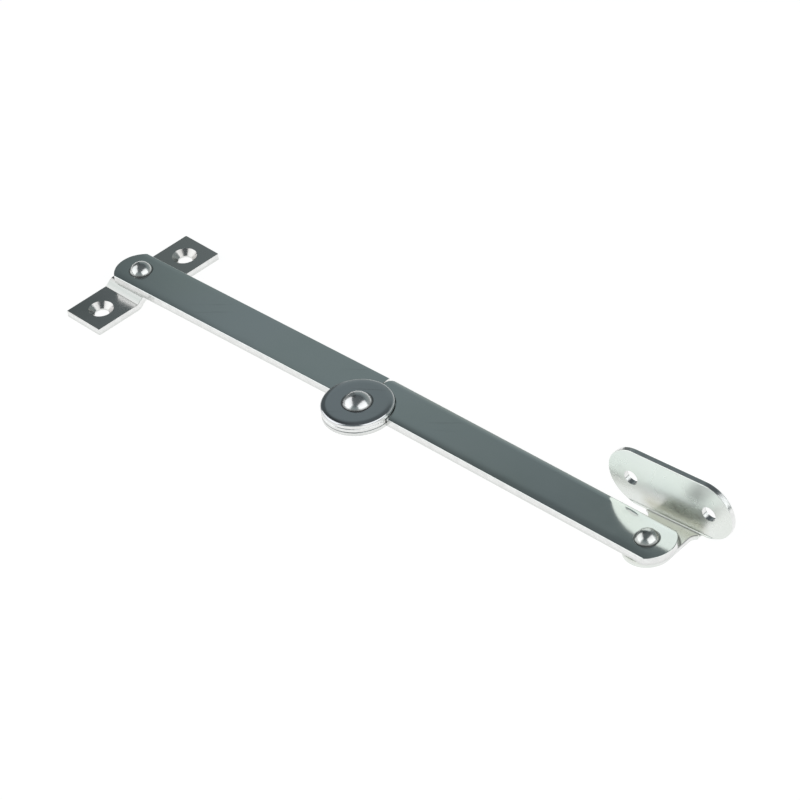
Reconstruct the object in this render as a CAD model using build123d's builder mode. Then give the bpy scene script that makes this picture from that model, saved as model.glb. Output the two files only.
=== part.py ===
"""Folding lid stay: two flat arms with an offset knuckle, a cranked foot bracket
and an angle bracket for the lid.  Millimetres, +Z up.

Origin: midway between the two screws of the foot bracket, on its mounting face.
The foot screws lie along Y, the arms run along +X, and every pivot is parallel to Z.
The stay lies unfolded, a little short of its stop.
"""
import os
from math import atan2, tan

from build123d import *

# ------------------------------------------------------------------ arms
arm_width = 16.0
arm_thick = 3.0
arm_rim = 0.25          # rounding of the arms' and the eyes' rims
foot_arm_length = 112.5  # foot rivet to knuckle, along the arm
lid_arm_length = 116.7   # knuckle to lid rivet, along the arm
bow_reach = 9.5         # the rivet to the tip of the bow-shaped end
bow_start = 5.2         # the rivet to the corners where the bow starts
bow_corner = 0.5

# ------------------------------------------------------------------ knuckle
pivot_outset = 0.65     # the knuckle turns this far outside the arms' near edges
eye_radius = 12.2
eye_gap = 0.3           # radial room between an eye and the other arm
stop_back = 1.3         # the stop faces meet this far behind the knuckle axis
stop_gap = 0.02
heel_radius = 2.5       # rounded corner of the lid arm beside its stop face
disc_overhang = 0.1     # the disc reaches this far past the eyes
disc_thick = 1.6
disc_rim = 0.8          # rounding of its upper rim
disc_foot_rim = 0.25    # and of its lower rim, which leaves a groove over the eye

# ------------------------------------------------------------------ foot bracket
foot_sheet = 2.5
foot_width = 17.2
foot_length = 55.4
foot_screw_pitch = 38.6
foot_bend = 9.9         # centre to the bend line on top of a foot
crest_half = 7.0        # centre to the edge of the raised flat
crank_rise = 2.1
crank_bend = 0.6        # inner radius of its four bends
foot_corner = 0.5
foot_rim = 0.2          # rounding all round both faces of the sheet
foot_rim = 0.2          # rounding all round both faces of the sheet
foot_hole_radius = 2.5
foot_sink_radius = 4.4
foot_sink_angle = 90

# ------------------------------------------------------------------ lid bracket
lid_sheet = 2.0
tab_radius = 8.2
web_half = 9.7          # half width of the fold
flare_start = 9.9       # the lid rivet to where the tab begins to widen
fold_radius = 1.0       # inner radius of the fold
plate_reach = 13.7      # the lid rivet to the face of the upright plate
plate_length = 47.9
plate_height = 20.8
plate_shift = 1.5       # the plate's centre lies this far towards the knuckle
plate_above_arm = 7.0   # the plate's centre line over the arms' upper faces
plate_hole_radius = 2.6
plate_hole_pitch = 30.2
plate_hole_drop = 0.5   # the screw holes lie this far below the centre line
web_corner = 1.4        # inside corners between fold and plate
plate_rim = 0.3

# ------------------------------------------------------------------ rivets
rivet_radius = 2.4
rivet_head_radius = 3.95
rivet_head_height = 2.9
knuckle_rivet_radius = 3.0
knuckle_head_radius = 4.95
knuckle_head_height = 3.1
tail_spread = 0.8       # the set tail is this much larger in radius than the shank

# ------------------------------------------------------------------ fits
pivot_clearance = 0.05  # radial, in every piece that turns on a rivet
play = 0.05             # axial, between pieces that turn on each other

# ------------------------------------------------------------------ how it lies, in degrees
foot_arm_turn = 2.5     # foot arm against X
knuckle_turn = -0.9     # lid arm against the foot arm
lid_bracket_turn = 2.9  # upright plate against the lid arm

# ------------------------------------------------------------------ levels
arm_base = foot_sheet + crank_rise + play
arm_top = arm_base + arm_thick
eye_split = arm_base + arm_thick / 2
tab_top = arm_base - play
tab_base = tab_top - lid_sheet
plate_centre = arm_top + plate_above_arm


# ------------------------------------------------------------------ frames
def frame_at(base, x, y, turn):
    """The frame `base` moved to (x, y) in itself, then turned about its Z axis."""
    moved = Plane(base.from_local_coords(Vector(x, y, 0)), x_dir=base.x_dir, z_dir=base.z_dir)
    return moved.rotated((0, 0, turn))


def along(frame):
    """Upright plane whose sketches run along the frame's X and up."""
    return Plane(frame.origin, x_dir=frame.x_dir, z_dir=-frame.y_dir)


def across(frame):
    """Upright plane whose sketches run along the frame's Y and up."""
    return Plane(frame.origin, x_dir=frame.y_dir, z_dir=frame.x_dir)


pivot_offset = arm_width / 2 + pivot_outset
foot_arm_frame = frame_at(Plane.XY, 0, 0, foot_arm_turn)
knuckle_frame = frame_at(foot_arm_frame, foot_arm_length, -pivot_offset, 0)
lid_arm_frame = frame_at(knuckle_frame, 0, 0, knuckle_turn)
lid_frame = frame_at(lid_arm_frame, lid_arm_length, pivot_offset, lid_bracket_turn)


# ------------------------------------------------------------------ repeated outlines
def arm_outline(rivet_at, stop_at, outward):
    """An arm's strip: square at stop_at, bow-shaped past the rivet.  Its centre line
    is y = 0, and outward (1 or -1) is the way along X in which the bow points."""
    half = arm_width / 2
    corner = rivet_at + outward * bow_start
    tip = rivet_at + outward * bow_reach
    with BuildSketch() as outline:
        with BuildLine():
            Polyline((corner, half), (stop_at, half), (stop_at, -half), (corner, -half))
            ThreePointArc((corner, -half), (tip, 0), (corner, half))
        make_face()
        bow_corners = outline.vertices().sort_by(Axis.X, reverse=outward > 0)[:2]
        fillet(bow_corners, bow_corner)
    return outline.sketch


def rivet_section(tail, seat, radius, head_radius, head_height):
    """Half section of a set rivet: flush conical tail at z = tail, dome on z = seat."""
    dome_radius = (head_radius**2 + head_height**2) / (2 * head_height)
    top = seat + head_height
    with BuildSketch() as section:
        with BuildLine():
            Polyline(
                (0, top), (0, tail), (radius + tail_spread, tail), (radius, tail + tail_spread),
                (radius, seat), (head_radius, seat),
            )
            RadiusArc((head_radius, seat), (0, top), -dome_radius)
        make_face()
    return section.sketch


def rivet_hole(tail, seat, radius):
    """Half section of the hole that a rivet fills, with its spread tail."""
    with BuildSketch() as section:
        with BuildLine():
            Polyline(
                (0, seat), (0, tail), (radius + tail_spread, tail), (radius, tail + tail_spread),
                (radius, seat), close=True,
            )
        make_face()
    return section.sketch


def arm_rims(arm, frame):
    """An arm's upper and lower rims and its eye's rim at the split, but for the stop's."""
    levels = arm.faces().filter_by(Axis.Z).group_by(Axis.Z)
    eye_rim = levels[1].edges().filter_by(GeomType.CIRCLE).sort_by(SortBy.RADIUS)[-1:]
    rims = levels[0].edges() + levels[-1].edges() + eye_rim
    return rims.filter_by(Axis(frame.origin, frame.y_dir), reverse=True)


# ------------------------------------------------------------------ foot bracket
crank_angle = atan2(crank_rise, foot_bend - crest_half)
bend_shift = foot_sheet * tan(crank_angle / 2)  # bend lines below against those on top
outer_bend = crank_bend + foot_sheet

with BuildPart() as foot_bracket:
    with BuildSketch(across(Plane.XY)):
        with BuildLine():
            underside = FilletPolyline(
                (-foot_length / 2, 0),
                (-foot_bend + bend_shift, 0),
                (-crest_half + bend_shift, crank_rise),
                (crest_half - bend_shift, crank_rise),
                (foot_bend - bend_shift, 0),
                (foot_length / 2, 0),
                radius=(outer_bend, crank_bend, crank_bend, outer_bend),
            )
            offset(underside, amount=foot_sheet, side=Side.LEFT)
        make_face()
    extrude(amount=foot_width / 2, both=True)
    foot_ends = foot_bracket.faces().filter_by(Axis.Y)
    fillet(foot_ends.edges().filter_by(Axis.Z), foot_corner)
    foot_sides = foot_bracket.faces().filter_by(Axis.X)
    fillet(foot_sides.edges().filter_by(Axis.Z, reverse=True), foot_rim)
    with BuildSketch(across(Plane.XY)):
        add(rivet_hole(crank_rise, arm_base, rivet_radius))
    revolve(axis=Axis.Z, mode=Mode.SUBTRACT)
    with Locations(Plane.XY.offset(foot_sheet)):
        with GridLocations(0, foot_screw_pitch, 1, 2):
            CounterSinkHole(foot_hole_radius, foot_sink_radius, counter_sink_angle=foot_sink_angle)


# ------------------------------------------------------------------ foot arm and its disc
with BuildPart() as foot_arm:
    with BuildSketch(foot_arm_frame.offset(arm_base)):
        add(arm_outline(0, foot_arm_length - stop_back, -1))
    extrude(amount=arm_thick)
    with BuildSketch(knuckle_frame.offset(eye_split + play)):
        Circle(eye_radius)
    extrude(amount=arm_top - eye_split - play)
    fillet(arm_rims(foot_arm, foot_arm_frame), arm_rim)
    # room for the lid arm's eye, which lies under this one
    with BuildSketch(knuckle_frame.offset(arm_base)):
        Circle(eye_radius + eye_gap)
    extrude(amount=eye_split + play - arm_base, mode=Mode.SUBTRACT)
    with BuildSketch(foot_arm_frame.offset(arm_base)):
        Circle(rivet_radius + pivot_clearance)
        with Locations((foot_arm_length, -pivot_offset)):
            Circle(knuckle_rivet_radius + pivot_clearance)
    extrude(amount=arm_thick, mode=Mode.SUBTRACT)

with BuildPart() as cover_disc:
    with BuildSketch(knuckle_frame.offset(arm_top)):
        Circle(eye_radius + disc_overhang)
        Circle(knuckle_rivet_radius + pivot_clearance, mode=Mode.SUBTRACT)
    extrude(amount=disc_thick)
    disc_top = cover_disc.faces().sort_by(Axis.Z)[-1]
    fillet(disc_top.outer_wire().edges(), disc_rim)
    disc_foot = cover_disc.faces().sort_by(Axis.Z)[0]
    fillet(disc_foot.outer_wire().edges(), disc_foot_rim)


# ------------------------------------------------------------------ lid arm
strip_frame = frame_at(lid_arm_frame, 0, pivot_offset, 0)

with BuildPart() as lid_arm:
    with BuildSketch(strip_frame.offset(arm_base)) as strip:
        add(arm_outline(lid_arm_length, stop_gap - stop_back, 1))
        heel = strip.vertices().group_by(Axis.X)[0].sort_by(Axis.Y)[-1]
        fillet(heel, heel_radius)
    extrude(amount=arm_thick)
    with BuildSketch(knuckle_frame.offset(arm_base)):
        Circle(eye_radius)
    extrude(amount=eye_split - arm_base)
    fillet(arm_rims(lid_arm, lid_arm_frame), arm_rim)
    # room for the foot arm's eye, which lies over this one
    with BuildSketch(knuckle_frame.offset(eye_split)):
        Circle(eye_radius + eye_gap)
    extrude(amount=arm_top - eye_split, mode=Mode.SUBTRACT)
    with BuildSketch(across(knuckle_frame)):
        add(rivet_hole(arm_base, arm_top, knuckle_rivet_radius))
    revolve(axis=Axis(knuckle_frame.origin, (0, 0, 1)), mode=Mode.SUBTRACT)
    with BuildSketch(lid_frame.offset(arm_base)):
        Circle(rivet_radius + pivot_clearance)
    extrude(amount=arm_thick, mode=Mode.SUBTRACT)


# ------------------------------------------------------------------ lid bracket
fold_start = plate_reach - fold_radius
outer_fold = fold_radius + lid_sheet
plate_back = plate_reach + lid_sheet
plate_top = plate_centre + plate_height / 2

with BuildPart() as lid_bracket:
    # the folded sheet, from over the rivet's axis to the top of the plate
    with BuildSketch(across(lid_frame)):
        with BuildLine():
            face = FilletPolyline(
                (0, tab_top), (plate_reach, tab_top), (plate_reach, plate_top),
                radius=fold_radius,
            )
            offset(face, amount=lid_sheet, side=Side.RIGHT)
        make_face()
    extrude(amount=plate_length, both=True)
    # from the fold on, cut to the outline of the plate and of the web that carries it
    with BuildSketch(along(lid_frame).offset(-fold_start)) as front:
        with Locations((-plate_shift, plate_centre)):
            SlotOverall(plate_length, plate_height)
        with Locations((0, tab_base)):
            Rectangle(2 * web_half, plate_centre - tab_base, align=(Align.CENTER, Align.MIN))
        inside_corners = front.vertices().group_by(Axis.Y)[1]
        fillet(inside_corners, web_corner)
    extrude(amount=fold_start - plate_back, mode=Mode.INTERSECT)
    # the plate's rims, all but the two lowest edges, which lie along the fold
    plate_sides = lid_bracket.faces().filter_by(GeomType.PLANE).sort_by(SortBy.AREA)[-2:]
    fillet(plate_sides.edges().sort_by(Axis.Z)[2:], plate_rim)
    # the tab, round about the rivet and flared towards the fold
    with BuildSketch(lid_frame.offset(tab_base)):
        with BuildLine():
            Line((web_half, fold_start), (-web_half, fold_start))
            TangentArc((-tab_radius, flare_start), (-web_half, fold_start), tangent=(0, 1))
            Line((-tab_radius, flare_start), (-tab_radius, 0))
            ThreePointArc((-tab_radius, 0), (0, -tab_radius), (tab_radius, 0))
            Line((tab_radius, 0), (tab_radius, flare_start))
            TangentArc((tab_radius, flare_start), (web_half, fold_start), tangent=(0, 1))
        make_face()
    extrude(amount=lid_sheet)
    with BuildSketch(across(lid_frame)):
        add(rivet_hole(tab_base, arm_base, rivet_radius))
    revolve(axis=Axis(lid_frame.origin, (0, 0, 1)), mode=Mode.SUBTRACT)
    with Locations(along(lid_frame)):
        with Locations((-plate_shift, plate_centre - plate_hole_drop, -plate_reach)):
            with GridLocations(plate_hole_pitch, 0, 2, 1):
                Hole(plate_hole_radius)


# ------------------------------------------------------------------ rivets
with BuildPart() as foot_rivet:
    with BuildSketch(across(Plane.XY)):
        add(rivet_section(crank_rise, arm_top + play, rivet_radius, rivet_head_radius,
                          rivet_head_height))
    revolve(axis=Axis.Z)

with BuildPart() as knuckle_rivet:
    with BuildSketch(across(knuckle_frame)):
        add(rivet_section(arm_base, arm_top + disc_thick + play, knuckle_rivet_radius,
                          knuckle_head_radius, knuckle_head_height))
    revolve(axis=Axis(knuckle_frame.origin, (0, 0, 1)))

with BuildPart() as lid_rivet:
    with BuildSketch(across(lid_frame)):
        add(rivet_section(tab_base, arm_top + play, rivet_radius, rivet_head_radius,
                          rivet_head_height))
    revolve(axis=Axis(lid_frame.origin, (0, 0, 1)))


# ------------------------------------------------------------------ write the pieces
pieces = {
    "foot_bracket": foot_bracket,
    "foot_rivet": foot_rivet,
    "foot_arm": foot_arm,
    "cover_disc": cover_disc,
    "lid_arm": lid_arm,
    "knuckle_rivet": knuckle_rivet,
    "lid_bracket": lid_bracket,
    "lid_rivet": lid_rivet,
}
os.makedirs("parts", exist_ok=True)
for name, piece in pieces.items():
    piece.part.label = name
    export_step(piece.part, f"parts/{name}.step")
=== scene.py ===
# %% [markdown]
# # A folding lid stay in bright zinc
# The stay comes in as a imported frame: eight steel pieces on four bodies, at their real size, with
# a pivot at the foot bracket, one in the knuckle and one under the lid plate. Here it gets its
# finishes, its light and its camera. Every CAD piece keeps the shape and the place that it has.

# %% Load the frame
import math

import bpy
import numpy as np
from mathutils import Matrix, Vector


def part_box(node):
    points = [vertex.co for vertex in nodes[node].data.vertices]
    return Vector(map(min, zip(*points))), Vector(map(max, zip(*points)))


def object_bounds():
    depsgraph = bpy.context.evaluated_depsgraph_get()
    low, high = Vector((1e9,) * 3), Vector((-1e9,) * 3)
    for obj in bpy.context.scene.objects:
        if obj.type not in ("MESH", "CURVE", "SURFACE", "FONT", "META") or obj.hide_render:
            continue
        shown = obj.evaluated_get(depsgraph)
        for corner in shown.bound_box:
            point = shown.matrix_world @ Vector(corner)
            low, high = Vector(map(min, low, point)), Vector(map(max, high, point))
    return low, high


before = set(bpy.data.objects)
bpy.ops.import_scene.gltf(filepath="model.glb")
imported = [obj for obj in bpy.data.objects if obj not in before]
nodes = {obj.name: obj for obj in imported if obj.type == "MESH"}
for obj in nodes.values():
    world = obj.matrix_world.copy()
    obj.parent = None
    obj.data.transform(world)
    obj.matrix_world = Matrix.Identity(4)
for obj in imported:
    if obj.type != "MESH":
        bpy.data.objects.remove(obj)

cad_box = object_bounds()
low, high = np.array(cad_box[0]), np.array(cad_box[1])
middle = (low + high) / 2
print("pieces:", ", ".join(sorted(nodes)))
print("overall size in mm:", np.round((high - low) * 1000, 1))


# %% [markdown]
# ## Small helpers for shader nodes
# A finish is a chain of nodes, each of which does one small thing. These helpers keep the chains
# short: each adds one node, feeds its inputs and gives back its output, so that a chain reads
# like a formula.

# %% Node helpers
def add_node(tree, kind, **inputs):
    """Adds a shader node of this kind and sets its inputs by name."""
    node = tree.nodes.new("ShaderNode" + kind)
    for name, value in inputs.items():
        node.inputs[name.replace("_", " ")].default_value = value
    return node


def join(tree, output, socket):
    """Joins an output to an input."""
    tree.links.new(output, socket)


def feed(tree, term, socket):
    """Feeds an input from an output, or sets it to a number or to a (red, green, blue) colour."""
    if isinstance(term, bpy.types.NodeSocket):
        join(tree, term, socket)
    elif isinstance(term, tuple):
        socket.default_value = (*term, 1.0)
    else:
        socket.default_value = term


def new_tree(owner):
    """The empty node tree of a material or a world."""
    owner.use_nodes = True
    owner.node_tree.nodes.clear()
    return owner.node_tree


def maths(tree, operation, *terms):
    """One arithmetic node; each term may be an output or a number."""
    node = tree.nodes.new("ShaderNodeMath")
    node.operation = operation
    for socket, term in zip(node.inputs, terms):
        feed(tree, term, socket)
    return node.outputs["Value"]


def vector_maths(tree, operation, vector, fixed):
    """One vector node that works on an output and a fixed vector."""
    node = tree.nodes.new("ShaderNodeVectorMath")
    node.operation = operation
    join(tree, vector, node.inputs[0])
    node.inputs[1].default_value = fixed
    return node


def dot(tree, vector, axis):
    """The length of vector along a fixed axis."""
    return vector_maths(tree, "DOT_PRODUCT", vector, axis).outputs["Value"]


def away(tree, place, centre):
    """Distance from the upright axis through centre, which is (x, y)."""
    level = vector_maths(tree, "MULTIPLY", place, (1, 1, 0)).outputs["Vector"]
    return vector_maths(tree, "DISTANCE", level, (*centre, 0)).outputs["Value"]


def between(tree, value, low_in, high_in, low_out=0.0, high_out=1.0):
    """Rescales value: low_in gives low_out, high_in gives high_out, and it stops there."""
    node = add_node(tree, "MapRange", From_Min=low_in, From_Max=high_in,
                    To_Min=low_out, To_Max=high_out)
    join(tree, value, node.inputs["Value"])
    return node.outputs["Result"]


def blend(tree, factor, first, second):
    """Mixes two values; first and second may be outputs or numbers."""
    node = tree.nodes.new("ShaderNodeMix")
    join(tree, factor, node.inputs["Factor"])
    feed(tree, first, node.inputs["A"])
    feed(tree, second, node.inputs["B"])
    return node.outputs["Result"]


def blend_colour(tree, factor, first, second):
    """Mixes two colours; first and second may be outputs or triples."""
    node = tree.nodes.new("ShaderNodeMixRGB")
    join(tree, factor, node.inputs["Fac"])
    feed(tree, first, node.inputs["Color1"])
    feed(tree, second, node.inputs["Color2"])
    return node.outputs["Color"]


def blend_shader(tree, factor, first, second):
    """Mixes two shaders, and gives the mixed one."""
    node = tree.nodes.new("ShaderNodeMixShader")
    for socket, output in zip(node.inputs, (factor, first, second)):
        join(tree, output, socket)
    return node.outputs["Shader"]


def ramp(tree, factor, stops):
    """A colour ramp driven by factor: stops are (position, (red, green, blue))."""
    node = tree.nodes.new("ShaderNodeValToRGB")
    elements = node.color_ramp.elements
    while len(elements) < len(stops):
        elements.new(1.0)
    for element, (position, colour) in zip(elements, stops):
        element.position = position
        element.color = (*colour, 1.0)
    join(tree, factor, node.inputs["Fac"])
    return node.outputs["Color"]


def noise(tree, place, scale, detail, stretch=(1, 1, 1), angle=0.0):
    """Fractal noise, turned by angle about Z and then scaled along each axis."""
    turned = add_node(tree, "Mapping", Rotation=(0, 0, -angle))
    join(tree, place, turned.inputs["Vector"])
    scaled = add_node(tree, "Mapping", Scale=stretch)
    join(tree, turned.outputs["Vector"], scaled.inputs["Vector"])
    node = add_node(tree, "TexNoise", Scale=scale, Detail=detail, Roughness=0.6)
    join(tree, scaled.outputs["Vector"], node.inputs["Vector"])
    return node.outputs["Fac"]


def relief(tree, height, distance, strength=1.0, under=None):
    """A bump of this height over the bumps under it."""
    node = add_node(tree, "Bump", Distance=distance)
    join(tree, height, node.inputs["Height"])
    feed(tree, strength, node.inputs["Strength"])
    if under is not None:
        join(tree, under, node.inputs["Normal"])
    return node.outputs["Normal"]


# %% [markdown]
# ## Masks
# A mask is a value from 0 to 1 that says where a layer of the finish shows. All of them are
# worked out from the place on the piece in its own coordinates, and from the way that the face
# looks in them, so that a mark stays where it is on the metal when an arm turns.

# %% Masks
UP = (0, 0, 1)


def overlap(tree, first, second):
    """Where two masks hold together."""
    return maths(tree, "MULTIPLY", first, second)


def outside(tree, mask):
    """Where a mask doesn't hold."""
    return maths(tree, "SUBTRACT", 1.0, mask)


def largest(tree, masks):
    """The largest of several masks."""
    top = masks[0]
    for mask in masks[1:]:
        top = maths(tree, "MAXIMUM", top, mask)
    return top


def band(tree, value, centre, half):
    """1 where value is at centre, falling to 0 at half a band away from it."""
    off = maths(tree, "ABSOLUTE", maths(tree, "SUBTRACT", value, centre))
    return between(tree, off, half, 0.0)


def faces(tree, place, normal, flats):
    """Masks of the flat faces and of the cut edges, which are the rest.

    flats are (direction, level) of the faces that were never cut, which look in this direction
    or away from it and lie below this level.
    """
    height = dot(tree, place, UP)
    facing = []
    for direction, level in flats:
        square_on = maths(tree, "ABSOLUTE", dot(tree, normal, direction))
        facing.append(overlap(tree, square_on, between(tree, height, level + 0.0001, level)))
    most = largest(tree, facing)
    return between(tree, most, 0.85, 0.97), between(tree, most, 0.75, 0.15)


# %% [markdown]
# ## How a press leaves the sheet
# A press shears the sheet: the punch leaves a shiny burnished band, and below it the metal tears
# and stays matt and grained. So the edge mask is split across the thickness of the sheet, with a
# ragged line between the two bands. A press also rolls the long edges of a strip and the rim of a
# disc down a little, which is why a flat arm shows a paler line along one edge and a darker one
# along the other. That rounding is far too shallow to need geometry, so it is a bump.

# %% Sheared edges and rolled rims
RAGGED_SCALE = 900.0
RAGGED_DEPTH = 0.0003


def sheared(tree, place, edge, cut):
    """The torn band of the cut edges.  cut is (direction, start, end) in metres."""
    direction, start, end = cut
    ragged = between(tree, noise(tree, place, RAGGED_SCALE, 2.0), 0.2, 0.8,
                     -RAGGED_DEPTH, RAGGED_DEPTH)
    depth = maths(tree, "ADD", dot(tree, place, direction), ragged)
    return overlap(tree, between(tree, depth, end, start), edge)


def falling(tree, distance, start, end):
    """A surface that falls away ever faster from start to end, by 1 in all."""
    t = between(tree, distance, start, end)
    return maths(tree, "MULTIPLY", maths(tree, "POWER", t, 3.0), -1.0)


def rolled(tree, place, origin, angle, half, width):
    """The roll of the left edge of a strip that runs from origin along this angle."""
    side = (-math.sin(angle), math.cos(angle), 0)
    rim = float(np.dot(origin, side)) + half
    return falling(tree, dot(tree, place, side), rim - width, rim)


def dished(tree, place, centre, outer, width):
    """The roll of the rim of a round piece."""
    return falling(tree, away(tree, place, centre), outer - width, outer)


# %% [markdown]
# ## Painted shade
# Thin dark lines are painted where contact shade falls: at the foot of a rivet head and in the
# seam between two pieces. On the flat faces they are rings round a pivot. On the sides they are
# bands at one height, kept within reach of a pivot so that they don't run along the whole arm.

# %% Painted shade
def painted_shade_mask(tree, place, flat, rings, seams):
    """Where shade is painted as dark lines.

    rings lie on the flat faces and are (centre, inner, outer) round a pivot.  seams lie on the
    other faces and are (centre, reach, level, half), a band at this level within reach of a
    pivot.
    """
    masks = []
    for centre, inner, outer in rings:
        distance = away(tree, place, centre)
        ring = band(tree, distance, (inner + outer) / 2, (outer - inner) / 2)
        masks.append(overlap(tree, ring, flat))
    height = dot(tree, place, UP)
    upright = outside(tree, flat)
    for centre, reach, level, half in seams:
        near = between(tree, away(tree, place, centre), reach + 0.0002, reach)
        line = overlap(tree, near, band(tree, height, level, half))
        masks.append(overlap(tree, line, upright))
    return largest(tree, masks)


# %% [markdown]
# ## The zinc coat
# Bright zinc plating is a thin, almost mirror-like coat with a cool green-grey cast. It is never
# perfectly even: the bath leaves soft cloudy patches, handling leaves fine scuffs and a bend
# strains the coat until it turns a little yellow or dull. The lid bracket's fold is also painted
# darker as shade. A single even metal would look like plastic, so colour and roughness are built
# up layer by layer, from the clean coat to the painted shade.

# %% Colour and roughness
EDGE_ZINC = (0.845, 0.85, 0.84)
TORN_ZINC = (0.72, 0.73, 0.715)
# The dark colour of the painted shade lines.
PAINTED_SHADE_COLOUR = (0.10, 0.105, 0.10)
EDGE_ROUGHNESS, TORN_ROUGHNESS, PAINTED_SHADE_ROUGHNESS = 0.18, 0.32, 0.50
BLUER = (0.97, 0.96, 1.06)
SCUFF_TURN = 0.6
SCUFF_ROUGHER = 0.16


def clean_coat(tree, place, pale, dull, gloss, angle):
    """The coat of the faces: soft clouds, a drifting tint and scuffs at a slant to the lines."""
    clouds = noise(tree, place, 55.0, 3.0)
    drift = noise(tree, place, 14.0, 1.0)
    shade = maths(tree, "ADD", maths(tree, "MULTIPLY", clouds, 0.6),
                  maths(tree, "MULTIPLY", drift, 0.4))
    colour = blend_colour(tree, between(tree, shade, 0.36, 0.62), dull, pale)
    tint = between(tree, noise(tree, place, 30.0, 1.0), 0.35, 0.65, 0.0, 0.35)
    colour = blend_colour(tree, tint, colour, tuple(np.array(pale) * BLUER))
    rough = between(tree, clouds, 0.3, 0.7, gloss * 0.8, gloss * 1.3)
    streaks = noise(tree, place, 500.0, 2.0, (0.06, 1.0, 1.0), angle + SCUFF_TURN)
    scuffs = between(tree, streaks, 0.68, 0.76)
    return colour, blend(tree, scuffs, rough, gloss + SCUFF_ROUGHER)


def with_edges(tree, place, colour, rough, edge, torn):
    """Adds the cut edges, which are mottled, and their torn band."""
    mottle = between(tree, noise(tree, place, 420.0, 2.0), 0.35, 0.65)
    metal = blend_colour(tree, mottle, EDGE_ZINC, tuple(0.9 * v for v in EDGE_ZINC))
    colour = blend_colour(tree, edge, colour, metal)
    colour = blend_colour(tree, torn, colour, TORN_ZINC)
    rough = blend(tree, edge, rough, EDGE_ROUGHNESS)
    return colour, blend(tree, torn, rough, TORN_ROUGHNESS)


def with_crease(tree, place, colour, rough, edge, crease):
    """Adds the strained, darker coat of a bend; on the lid bracket's fold it is also painted shade.

    crease is (colour, roughness, centre, reach, bands): where a bend has changed the coat within
    reach of a pivot, each band being (direction, level, half).
    """
    bent_colour, bent_rough, centre, reach, bands = crease
    bent = largest(tree, [band(tree, dot(tree, place, direction), level, half)
                          for direction, level, half in bands])
    bent = overlap(tree, bent, outside(tree, edge))
    near = between(tree, away(tree, place, centre), reach, reach - 0.003)
    bent = overlap(tree, bent, near)
    return blend_colour(tree, bent, colour, bent_colour), blend(tree, bent, rough, bent_rough)


def with_painted_shade(tree, colour, rough, painted_shade):
    """Adds the painted shade lines over everything else."""
    colour = blend_colour(tree, maths(tree, "MULTIPLY", painted_shade, 0.85), colour, PAINTED_SHADE_COLOUR)
    return colour, blend(tree, painted_shade, rough, PAINTED_SHADE_ROUGHNESS)


# %% [markdown]
# ## The grain of the surface
# Cold-rolled strip carries fine lines along its length, less than a thousandth of a millimetre
# deep, and they stretch a reflection across them. The cut edges are finely grained, and the torn
# band more so. All of it is bump: each layer tilts the normal that the last one left.

# %% Relief and the whole finish
LINE_DEPTH = 0.0000008
EDGE_GRAIN = 0.00001
TORN_GRAIN = 0.00003


def grain(tree, place, angle, edge, torn, presses):
    """The normal of the surface.  presses are (depth, shape), where shape makes the shape of a
    rolled or dished rim from the tree and the place."""
    lines = noise(tree, place, 2600.0, 4.0, (0.04, 1.0, 1.0), angle)
    pits = noise(tree, place, 1500.0, 3.0)
    bumped = relief(tree, lines, LINE_DEPTH)
    for depth, shape in presses:
        bumped = relief(tree, shape(tree, place), depth, 1.0, bumped)
    bumped = relief(tree, pits, EDGE_GRAIN, edge, bumped)
    return relief(tree, pits, TORN_GRAIN, torn, bumped)


def zinc(name, shades, gloss, angle, flats, cut, rings, seams, crease=None, presses=()):
    """Bright zinc in two shades, pale and dull, with rolling lines at this angle to X.

    gloss is the roughness of the faces.  flats, cut, rings and seams, crease and presses are as
    in faces, sheared, soot, with_crease and grain.
    """
    pale, dull = shades
    material = bpy.data.materials.new(name)
    tree = new_tree(material)
    coordinates = tree.nodes.new("ShaderNodeTexCoord")
    place, normal = coordinates.outputs["Object"], coordinates.outputs["Normal"]

    flat, edge = faces(tree, place, normal, flats)
    torn = sheared(tree, place, edge, cut)
    colour, rough = clean_coat(tree, place, pale, dull, gloss, angle)
    colour, rough = with_edges(tree, place, colour, rough, edge, torn)
    if crease is not None:
        colour, rough = with_crease(tree, place, colour, rough, edge, crease)
    # The rings and seams are painted shade: dark lines where the shade of a contact falls.
    painted_shade = painted_shade_mask(tree, place, flat, rings, seams)
    colour, rough = with_painted_shade(tree, colour, rough, painted_shade)

    skin = add_node(tree, "BsdfPrincipled", Metallic=1.0)
    join(tree, colour, skin.inputs["Base Color"])
    join(tree, rough, skin.inputs["Roughness"])
    join(tree, grain(tree, place, angle, edge, torn, presses), skin.inputs["Normal"])
    out = tree.nodes.new("ShaderNodeOutputMaterial")
    join(tree, skin.outputs["BSDF"], out.inputs["Surface"])
    return material


def wear(finish, *names):
    """Gives these CAD nodes the finish."""
    for name in names:
        piece = nodes[name]
        piece.data.materials.clear()
        piece.data.materials.append(finish)
        print(name, "wears", finish.name)


# %% [markdown]
# ## Where the marks lie
# Every mark is placed from a pivot or from the height of a layer, and both come from the pieces
# themselves. A pivot is the middle of its rivet, seen from above. The arms lie in one level, the
# tab of the lid bracket and the crank of the foot bracket touch them from below, and the cover
# disc lies on top.

# %% Pivots, levels and colours
def centre_of(name):
    """The middle of a piece's box, seen from above."""
    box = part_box(name)
    return ((box[0][0] + box[1][0]) / 2, (box[0][1] + box[1][1]) / 2)


foot_pivot = centre_of("foot_rivet")
knuckle = centre_of("knuckle_rivet")
lid_pivot = centre_of("lid_rivet")
arm_low, arm_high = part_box("foot_arm")[0][2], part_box("foot_arm")[1][2]
tab_high = arm_low - 0.00005
disc_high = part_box("cover_disc")[1][2]

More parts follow.
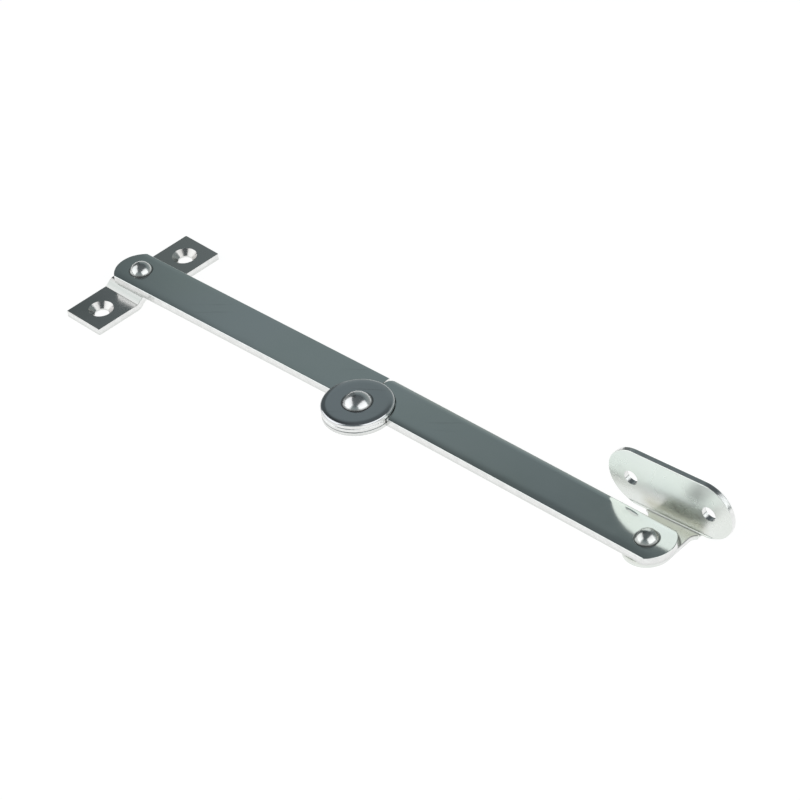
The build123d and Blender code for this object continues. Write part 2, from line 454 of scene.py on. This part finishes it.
# Each finish has a pale and a dull shade.
COOL = (0.81, 0.84, 0.81), (0.72, 0.76, 0.73)
WARM = (0.71, 0.695, 0.665), (0.62, 0.61, 0.585)
PLATE = (0.82, 0.85, 0.805), (0.74, 0.77, 0.73)
HEAD = (0.74, 0.75, 0.73), (0.64, 0.655, 0.64)
RUBBED = (0.70, 0.71, 0.71), (0.63, 0.64, 0.64)
# The straw tint of the lid bracket's fold, darkened as painted shade.
STRAW_AND_FOLD_SHADE = (0.60, 0.605, 0.525)
STRAINED = (0.55, 0.57, 0.55)

ACROSS = (0, 1, 0)
LEVEL_FACES = [(UP, 1.0)]
NOWHERE_TORN = (UP, -1.0, -0.9)
print("pivots in mm:", np.round(np.array([foot_pivot, knuckle, lid_pivot]) * 1000, 1).tolist())

# %% [markdown]
# ## The arms
# They have the cool coat and the best mirror of all, because they are rolled strip that nothing
# has bent. Each has painted shade: dark lines round its rivet head, round the cover disc and in
# the split between the two half-thick eyes. The lid arm's edges are rolled down much more than
# the foot arm's, so each arm gets a finish of its own.

# %% Arms
HALF_ARM = 0.008
NEAR_WIDTH, FAR_WIDTH = 0.004, 0.0022
arm_cut = (UP, arm_low + 0.0006, arm_low + 0.0014)
# eye_split is a painted shade line in the split between the two half-thick eyes.
eye_split = (knuckle, 0.0125, (arm_low + arm_high) / 2, 0.0003)


def arm_zinc(name, pivot, heading, near_roll, far_roll):
    """The cool coat on an arm that runs from its pivot along this heading."""
    start = (*pivot, 0)

    def near_rim(tree, place):
        return rolled(tree, place, start, heading + math.pi, HALF_ARM, NEAR_WIDTH)

    def far_rim(tree, place):
        return rolled(tree, place, start, heading, HALF_ARM, FAR_WIDTH)

    return zinc(name, COOL, 0.10, heading, LEVEL_FACES, arm_cut,
                # The rings are painted shade round the rivet head and round the cover disc.
                rings=[(pivot, 0.0038, 0.0044), (knuckle, 0.0122, 0.0127)],
                seams=[eye_split],
                presses=[(near_roll, near_rim), (far_roll, far_rim)])


wear(arm_zinc("foot_arm_zinc", foot_pivot, math.radians(2.5), 0.00003, 0.00003), "foot_arm")
wear(arm_zinc("lid_arm_zinc", lid_pivot, math.radians(1.6), 0.00010, 0.00032), "lid_arm")

# %% [markdown]
# ## The two brackets
# The foot bracket came out of the bath a little warmer and duller, and both of its bends are
# strained. The lid bracket's plate is the least polished face of the stay and reflects as a soft
# blur. Its fold is painted a darker straw colour, partly a tinted coat and partly painted shade in
# the fold. Its level faces count as flat only below the top of the fold, which leaves the tab flat
# and makes the upright plate's top an edge. Both brackets carry painted shade: dark lines round
# the end of the arm that lies on them.

# %% Brackets
foot_bends = [(ACROSS, 0.0085, 0.0024), (ACROSS, -0.0085, 0.0024)]
wear(zinc("foot_zinc", WARM, 0.19, math.radians(90), LEVEL_FACES, (UP, 0.0006, 0.0013),
          # The ring and seam are painted shade round the end of the foot arm.
          rings=[(foot_pivot, 0.0083, 0.0089)],
          seams=[(foot_pivot, 0.0095, tab_high, 0.0002)],
          crease=(STRAINED, 0.28, foot_pivot, 0.02, foot_bends)),
     "foot_bracket")

PLATE_TURN = math.radians(4.5)
FOLD_TOP = 0.008
plate_way = (-math.sin(PLATE_TURN), math.cos(PLATE_TURN), 0)
wear(zinc("plate_zinc", PLATE, 0.25, PLATE_TURN, [(UP, FOLD_TOP), (plate_way, 1.0)],
          NOWHERE_TORN,
          # The ring and seam are painted shade round the end of the lid arm, on the tab and its
          # edge.
          rings=[(lid_pivot, 0.0094, 0.0106)],
          seams=[(lid_pivot, 0.0165, tab_high - 0.0002, 0.0006)],
          # The crease is partly a straw-tinted coat and partly painted shade in the fold.
          crease=(STRAW_AND_FOLD_SHADE, 0.26, lid_pivot, 0.0195, [(UP, 0.0075, 0.0045)])),
     "lid_bracket")


# %% [markdown]
# ## The cover disc and the rivets
# The disc is stamped, so its rim is rolled all round, and it is rubbed a little darker than the
# arms. The rivet heads are cold-formed and less polished. The last of the painted shade is the
# dark line at the foot of each head, and a hairline where the disc meets the arm.

# %% Disc and rivets
HAIRLINE = 0.00005
HEAD_SHADE = 0.0007


def disc_rim(tree, place):
    """The rolled rim of the cover disc."""
    return dished(tree, place, knuckle, 0.0123, 0.003)


wear(zinc("disc_zinc", RUBBED, 0.12, 0.0, LEVEL_FACES, NOWHERE_TORN,
          # The ring round the rivet head and the hairline at the arm are painted shade.
          rings=[(knuckle, 0.0048, 0.0055)],
          seams=[(knuckle, 0.0128, arm_high, HAIRLINE)],
          presses=[(0.00025, disc_rim)]),
     "cover_disc")
wear(zinc("rivet_zinc", HEAD, 0.22, 0.0, LEVEL_FACES, NOWHERE_TORN,
          rings=[],
          # These seams are painted shade: the dark line at the foot of each rivet head.
          seams=[(foot_pivot, 0.0042, arm_high, HEAD_SHADE),
                 (lid_pivot, 0.0042, arm_high, HEAD_SHADE),
                 (knuckle, 0.0052, disc_high, HEAD_SHADE)]),
     "foot_rivet", "knuckle_rivet", "lid_rivet")

# %% [markdown]
# ## The studio
# Polished metal shows its surroundings, so they are most of its look. The level faces mirror the
# upper walls of the room, which are a muted green-grey with a pool of light that ends near the
# foot of the stay. The rolled rims mirror them lower down, where they are paler. The camera sees
# plain white behind the stay, because the background asks whether a ray comes straight from it.

# %% The room
POOL_END = math.radians(144.6)
UNLIT_STRENGTH = 0.45
WALLS = [
    (0.00, (0.36, 0.39, 0.385)),
    (0.17, (0.33, 0.36, 0.355)),
    (0.40, (0.275, 0.315, 0.318)),
    (0.56, (0.204, 0.243, 0.250)),
    (0.61, (0.196, 0.237, 0.246)),
    (0.64, (0.182, 0.219, 0.227)),
    (0.67, (0.108, 0.129, 0.134)),
    (0.77, (0.095, 0.110, 0.118)),
    (1.00, (0.12, 0.135, 0.14)),
]


def level_way(angle):
    """A level direction at this angle to X."""
    return (math.cos(angle), math.sin(angle), 0)


def room():
    """The world: white to the camera, else walls that are pale low down and grey-green above."""
    world = bpy.data.worlds.new("studio")
    bpy.context.scene.world = world
    tree = new_tree(world)
    direction = tree.nodes.new("ShaderNodeTexCoord").outputs["Generated"]
    height = dot(tree, direction, UP)
    beside = dot(tree, direction, level_way(POOL_END + math.pi / 2))
    behind = dot(tree, direction, level_way(POOL_END))
    unlit = overlap(tree, between(tree, beside, -0.005, 0.020), between(tree, behind, 0.3, 0.5))
    walls = add_node(tree, "Background")
    join(tree, ramp(tree, height, WALLS), walls.inputs["Color"])
    join(tree, between(tree, unlit, 0.0, 1.0, 1.0, UNLIT_STRENGTH), walls.inputs["Strength"])
    white = add_node(tree, "Background", Color=(1, 1, 1, 1), Strength=1.0)
    seen = tree.nodes.new("ShaderNodeLightPath").outputs["Is Camera Ray"]
    backdrop = blend_shader(tree, seen, walls.outputs["Background"], white.outputs["Background"])
    out = tree.nodes.new("ShaderNodeOutputWorld")
    join(tree, backdrop, out.inputs["Surface"])
    print("room: dome and white backdrop")


room()


# %% [markdown]
# ## The table
# Every upright edge of the stay mirrors the white table that it lies on. A matt top under soft
# light would come out grey, so most of what the camera and the reflections see of it is an even
# white glow. The matt share still takes the soft shadow of the stay.

# %% The table
TABLE_COLOUR = (0.92, 0.93, 0.925, 1)
GLOW_STRENGTH = 1.15
GLOW_SHARE = 0.8
TABLE_HALF = 4.0
TABLE_GAP = 0.0001


def table_top(half, height):
    """A square floor of this half side, as one face."""
    mesh = bpy.data.meshes.new("table_top")
    corners = [(x * half, y * half, height) for x, y in ((-1, -1), (1, -1), (1, 1), (-1, 1))]
    mesh.from_pydata(corners, [], [(0, 1, 2, 3)])
    floor = bpy.data.objects.new("table_top", mesh)
    bpy.context.scene.collection.objects.link(floor)

    material = bpy.data.materials.new("white_table")
    tree = new_tree(material)
    matt = add_node(tree, "BsdfDiffuse", Color=TABLE_COLOUR)
    glow = add_node(tree, "Emission", Color=(1, 1, 1, 1), Strength=GLOW_STRENGTH)
    rays = tree.nodes.new("ShaderNodeLightPath")
    seen = maths(tree, "MAXIMUM", rays.outputs["Is Camera Ray"], rays.outputs["Is Glossy Ray"])
    share = maths(tree, "MULTIPLY", seen, GLOW_SHARE)
    mixed = blend_shader(tree, share, matt.outputs["BSDF"], glow.outputs["Emission"])
    out = tree.nodes.new("ShaderNodeOutputMaterial")
    join(tree, mixed, out.inputs["Surface"])
    mesh.materials.append(material)
    print("table top:", 2 * half, "m square")


table_top(TABLE_HALF, low[2] - TABLE_GAP)

# %% [markdown]
# ## The camera
# It looks down on the stay from the front right, through a long lens so that the two arms stay
# almost parallel, and it is rolled a little so that the stay runs down across the frame.

# %% Camera
AZIMUTH = math.radians(50.025)
ELEVATION = math.radians(38.76)
ROLL = math.radians(-6.99)
DISTANCE = 1.0982
LENS = 151.84
AIM_SHIFT = (0.0011, 0.0070)

aim = Vector((middle[0] + AIM_SHIFT[0], middle[1] + AIM_SHIFT[1], arm_high))


def outward(azimuth, elevation):
    """The direction from the stay to something at this azimuth and elevation."""
    return Vector((
        math.cos(elevation) * math.sin(azimuth),
        -math.cos(elevation) * math.cos(azimuth),
        math.sin(elevation),
    ))


forward = -outward(AZIMUTH, ELEVATION)
sideways = Vector(level_way(AZIMUTH))
upward = sideways.cross(forward)
right = math.cos(ROLL) * sideways + math.sin(ROLL) * upward
up = -math.sin(ROLL) * sideways + math.cos(ROLL) * upward

lens = bpy.data.cameras.new("camera")
lens.lens = LENS
lens.sensor_width = 36
lens.clip_start = 0.01
camera = bpy.data.objects.new("camera", lens)
bpy.context.scene.collection.objects.link(camera)
turn = Matrix((right, up, -forward)).transposed().to_4x4()
camera.matrix_world = Matrix.Translation(aim - DISTANCE * forward) @ turn
bpy.context.scene.camera = camera
print("camera at", [round(v, 3) for v in camera.matrix_world.translation])


# %% [markdown]
# ## The lamps
# Two soft boxes stand left and right of the camera with a gap between them. That gap is the dark
# streak in each rivet head and countersink, and the boxes are the two bright patches beside it.

# %% Lamps
def soft_box(name, side_angle, elevation, distance, size, power):
    """A soft box aimed at the stay, side_angle round from the camera (left is negative)."""
    lamp = bpy.data.lights.new(name, "AREA")
    lamp.shape = "RECTANGLE"
    lamp.size, lamp.size_y = size
    lamp.energy = power
    box = bpy.data.objects.new(name, lamp)
    bpy.context.scene.collection.objects.link(box)
    direction = outward(AZIMUTH + math.radians(side_angle), math.radians(elevation))
    box.location = aim + distance * direction
    box.rotation_euler = direction.to_track_quat("Z", "Y").to_euler()
    print(name, "at", [round(v, 2) for v in box.location])


soft_box("left_box", -98, 32, 1.2, (1.6, 1.15), 6.6)
soft_box("right_box", 46, 35, 1.1, (1.5, 1.0), 5.4)

# %% [markdown]
# ## Finish
# The Standard view shows colours as they are, with pure white as pure white.

# %% Finish
bpy.context.scene.view_settings.view_transform = "Standard"
